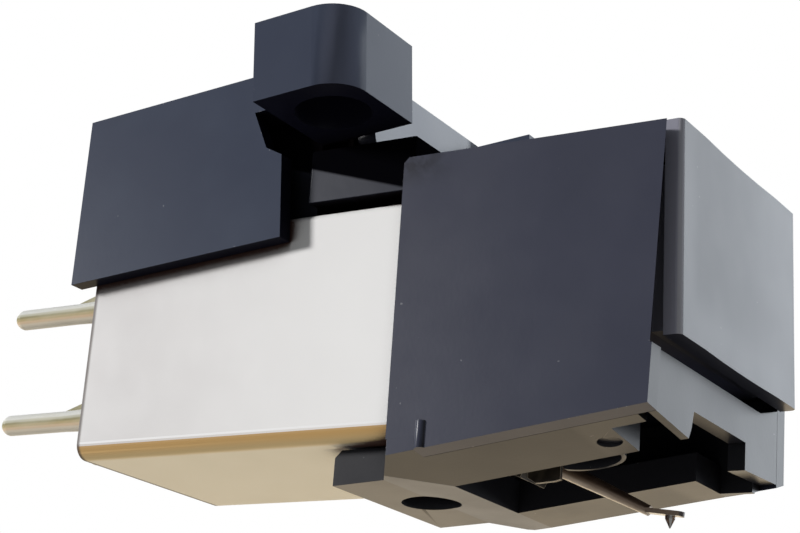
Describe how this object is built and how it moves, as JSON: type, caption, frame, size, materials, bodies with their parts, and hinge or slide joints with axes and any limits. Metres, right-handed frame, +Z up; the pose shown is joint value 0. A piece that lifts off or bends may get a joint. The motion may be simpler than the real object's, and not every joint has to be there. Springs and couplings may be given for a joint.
{
  "type": "turntable stylus and cartridge",
  "caption": "Half-inch mount moving-magnet record-player cartridge with its pull-off stylus unit: shielded body, terminal pins, saddle with mounting ears, cantilever and diamond.",
  "frame": {"origin": "midway between the two mounting holes, on the top mounting face", "axes": "+X towards the stylus end, +Y towards the right-hand channel, +Z up out of the mounting face"},
  "size_m": [0.029, 0.0168, 0.0168],
  "materials": {
    "black_plastic": "moulded black plastic with a soft sheen",
    "panel_plastic": "moulded black plastic, slightly dished face",
    "terminal_plastic": "moulded black plastic",
    "can_plating": "pale plated sheet steel, satin",
    "gold_pin": "gold flash on brass",
    "bobbin_plastic": "blue moulded plastic",
    "coil_copper": "lacquered copper winding",
    "bare_steel": "bare soft steel",
    "bracket_metal": "thin folded sheet",
    "anchor_brass": "turned brass",
    "damper_rubber": "soft black rubber",
    "magnet_alloy": "ground magnet rod",
    "cantilever_alloy": "tapered drawn tube, warm satin",
    "diamond": "ground diamond on a dark shank"
  },
  "bodies": {
    "cartridge_body": {"mount_saddle": "black_plastic", "neck_block": "black_plastic", "shield_can": "can_plating", "terminal_block": "terminal_plastic", "pin_upper_left": "gold_pin", "pin_lower_left": "gold_pin", "pin_upper_right": "gold_pin", "pin_lower_right": "gold_pin", "front_bulkhead": "black_plastic", "bobbin_left": "bobbin_plastic", "bobbin_right": "bobbin_plastic", "coil_left": "coil_copper", "coil_right": "coil_copper", "pole_left": "bare_steel", "pole_right": "bare_steel", "yoke": "bare_steel", "screen_plate": "can_plating", "ground_strap": "gold_pin"},
    "stylus_unit": {"stylus_cover": "black_plastic", "stylus_holder": "black_plastic", "finger_panel": "panel_plastic", "cantilever_bracket": "bracket_metal", "wire_anchor": "anchor_brass", "tie_wire": "bare_steel"},
    "damper": {"damper_ring": "damper_rubber"},
    "stylus_arm": {"joint_pipe": "bare_steel", "magnet": "magnet_alloy", "cantilever": "cantilever_alloy", "stylus_tip": "diamond"}
  },
  "joints": [
    {"name": "stylus_pull", "type": "slide", "parent": "cartridge_body", "child": "stylus_unit", "axis": [0.9962, 0, -0.0872], "range_m": [0, 0.008]},
    {"name": "stylus_sway", "type": "hinge", "parent": "stylus_unit", "child": "damper", "pos_m": [0.00401, 0, -0.0138], "axis": [0.0872, 0, 0.9962], "range_deg": [-2, 2], "stiffness_Nm_per_rad": 0.0016},
    {"name": "stylus_lift", "type": "hinge", "parent": "damper", "child": "stylus_arm", "pos_m": [0.00401, 0, -0.0138], "axis": [0, 1, 0], "range_deg": [-3, 3], "stiffness_Nm_per_rad": 0.0016}
  ]
}
